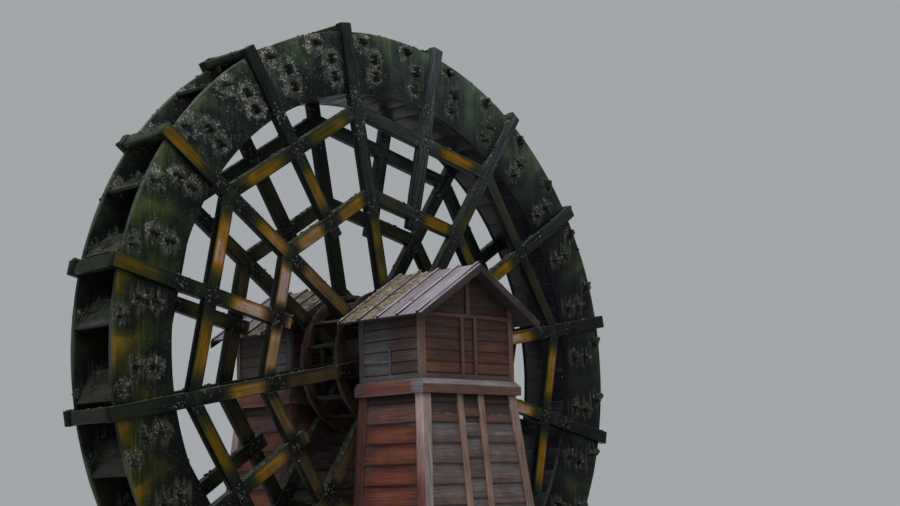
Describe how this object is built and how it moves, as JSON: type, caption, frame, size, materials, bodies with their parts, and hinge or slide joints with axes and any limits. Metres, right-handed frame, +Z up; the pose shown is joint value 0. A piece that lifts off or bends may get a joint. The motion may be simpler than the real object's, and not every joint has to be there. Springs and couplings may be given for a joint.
{
  "type": "watermill wheel with two bearing houses",
  "caption": "Large timber water wheel with braced spokes and elbow buckets, turning on an axle between two small boarded, gabled bearing houses on tapered towers.",
  "frame": {"origin": "on the level floor under the middle of the axle, at the middle of the wheel's width", "axes": "+Z up, +Y along the axle from the front bearing house to the rear one, +X to the right seen from the front"},
  "size_m": [5.9312, 2.9142, 6.1156],
  "materials": {
    "wet_wood": "soaked dark timber, half gloss",
    "mossy_wood": "soaked timber with moss, lichen and splash marks",
    "algae_wood": "soaked timber with yellow algae on its faces",
    "bare_wet_wood": "damp brown timber",
    "iron": "dark greased iron",
    "roof_wood": "weathered purple grey boards with moss near the wheel",
    "grey_wood": "weathered grey brown timber",
    "tower_boards": "red brown boards, greyer on the outer face",
    "house_boards": "weathered brown boards"
  },
  "bodies": {
    "houses": {"front_tower_posts": "grey_wood", "front_tower_walls": "tower_boards", "front_ledge": "grey_wood", "front_bearing": "house_boards", "front_house_posts": "grey_wood", "front_end_walls": "house_boards", "front_side_walls": "house_boards", "front_axle_frame": "grey_wood", "front_wall_battens": "house_boards", "front_roof_left": "roof_wood", "front_roof_right": "roof_wood", "front_barge_boards": "house_boards", "rear_tower_posts": "grey_wood", "rear_tower_walls": "tower_boards", "rear_ledge": "grey_wood", "rear_bearing": "house_boards", "rear_house_posts": "grey_wood", "rear_end_walls": "house_boards", "rear_side_walls": "house_boards", "rear_axle_frame": "grey_wood", "rear_wall_battens": "house_boards", "rear_roof_left": "roof_wood", "rear_roof_right": "roof_wood", "rear_barge_boards": "house_boards"},
    "wheel": {"axle": "wet_wood", "gudgeons": "iron", "nave": "wet_wood", "front_hub_hoop": "bare_wet_wood", "rear_hub_hoop": "bare_wet_wood", "hub_bars": "bare_wet_wood", "front_long_spokes": "algae_wood", "rear_long_spokes": "algae_wood", "front_short_spokes": "algae_wood", "rear_short_spokes": "algae_wood", "front_outer_braces": "algae_wood", "rear_outer_braces": "algae_wood", "front_inner_braces": "algae_wood", "rear_inner_braces": "algae_wood", "front_rim": "mossy_wood", "rear_rim": "mossy_wood", "rim_ties": "wet_wood", "sole_boards": "wet_wood", "bucket_straight_boards": "wet_wood", "bucket_sloping_boards": "wet_wood"}
  },
  "joints": [
    {"name": "wheel_spin", "type": "hinge", "parent": "houses", "child": "wheel", "pos_m": [0, 0, 3.15], "axis": [0, 1, 0], "continuous": true}
  ]
}
